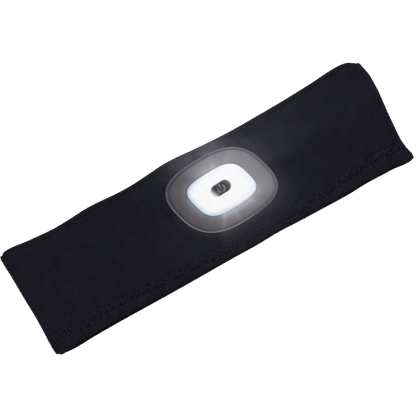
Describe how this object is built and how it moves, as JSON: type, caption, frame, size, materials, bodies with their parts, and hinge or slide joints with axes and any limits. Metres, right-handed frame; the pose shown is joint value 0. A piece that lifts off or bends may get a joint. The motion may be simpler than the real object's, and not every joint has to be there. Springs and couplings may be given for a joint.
{
  "type": "headband lamp",
  "caption": "Stretch-knit sweatband folded flat, with a removable rechargeable LED lamp held in a sewn-on smoky silicone bezel.",
  "frame": {"origin": "centre of the rear panel's outer face, on which the flat band rests", "axes": "+X along the band, +Y up the band's height, +Z out of the front face, towards the light"},
  "size_m": [0.2436, 0.069, 0.0169],
  "materials": {
    "knit": "brushed stretch knit, black with a cool cast",
    "tape": "woven cotton tape",
    "thread": "polyester thread",
    "silicone": "smoky translucent silicone, satin",
    "clear_lens": "clear moulded polycarbonate",
    "white_frame": "white reflective moulding",
    "phosphor": "yellow LED phosphor",
    "board": "white solder mask",
    "chip": "black moulded epoxy",
    "plated_metal": "nickel-plated steel",
    "housing": "fine-textured black ABS",
    "button": "dark grey soft-touch rubber",
    "symbol": "pale grey moulded inlay",
    "cell_foil": "laminated foil pouch",
    "foam": "closed-cell foam",
    "wire_red": "silicone-insulated wire",
    "wire_black": "silicone-insulated wire"
  },
  "bodies": {
    "band_rear": {"rear_panel": "knit", "rear_seam_tape": "tape"},
    "right_rear": {"right_rear_panel": "knit"},
    "right_front": {"right_front_panel": "knit"},
    "band_front": {"front_panel": "knit", "silicone_bezel": "silicone", "bezel_stitching": "thread", "backing_patch": "tape"},
    "left_rear": {"left_rear_panel": "knit"},
    "left_front": {"left_front_panel": "knit"},
    "front_left": {"front_panel_left": "knit"},
    "lamp": {"lens_cover": "clear_lens", "housing_seal": "foam", "rear_housing": "housing", "led_frame": "white_frame", "led_top_left": "phosphor", "led_top_right": "phosphor", "led_bottom_left": "phosphor", "led_bottom_right": "phosphor", "circuit_board": "board", "switch_body": "plated_metal", "controller_chip": "chip", "charging_chip": "chip", "foam_pad": "foam", "battery_cell": "cell_foil", "battery_wire_red": "wire_red", "battery_wire_black": "wire_black", "socket_shell": "plated_metal", "socket_tongue": "chip"},
    "button": {"power_button": "button", "switch_plunger": "chip", "power_symbol_ring": "symbol", "power_symbol_bar": "symbol"}
  },
  "joints": [
    {"name": "band_open", "type": "hinge", "parent": "band_rear", "child": "right_rear", "pos_m": [0.055, 0, 0.002], "axis": [0, -1, 0], "range_deg": [0, 75]},
    {"name": "right_fold", "type": "hinge", "parent": "right_rear", "child": "right_front", "pos_m": [0.1203, 0, 0.0032], "axis": [0, 1, 0], "range_deg": [0, 150]},
    {"name": "right_front_bend", "type": "hinge", "parent": "right_front", "child": "band_front", "pos_m": [0.055, 0, 0.0044], "axis": [0, -1, 0], "range_deg": [0, 75]},
    {"name": "left_rear_bend", "type": "hinge", "parent": "band_rear", "child": "left_rear", "pos_m": [-0.055, 0, 0.002], "axis": [0, 1, 0], "range_deg": [0, 75]},
    {"name": "left_fold", "type": "hinge", "parent": "left_rear", "child": "left_front", "pos_m": [-0.1203, 0, 0.0032], "axis": [0, -1, 0], "range_deg": [0, 150]},
    {"name": "left_front_bend", "type": "hinge", "parent": "left_front", "child": "front_left", "pos_m": [-0.055, 0, 0.0044], "axis": [0, 1, 0], "range_deg": [0, 75]},
    {"name": "lamp_out", "type": "slide", "parent": "band_front", "child": "lamp", "axis": [0, 0, 1], "range_m": [0, 0.02]},
    {"name": "button_press", "type": "slide", "parent": "lamp", "child": "button", "axis": [0, 0, -1], "range_m": [0, 0.0004], "stiffness_N_per_m": 800}
  ],
  "couplings": [
    {"joint": "right_fold", "follows": "band_open", "ratio": 2},
    {"joint": "right_front_bend", "follows": "band_open", "ratio": 1},
    {"joint": "left_rear_bend", "follows": "band_open", "ratio": 1},
    {"joint": "left_fold", "follows": "band_open", "ratio": 2},
    {"joint": "left_front_bend", "follows": "band_open", "ratio": 1}
  ]
}
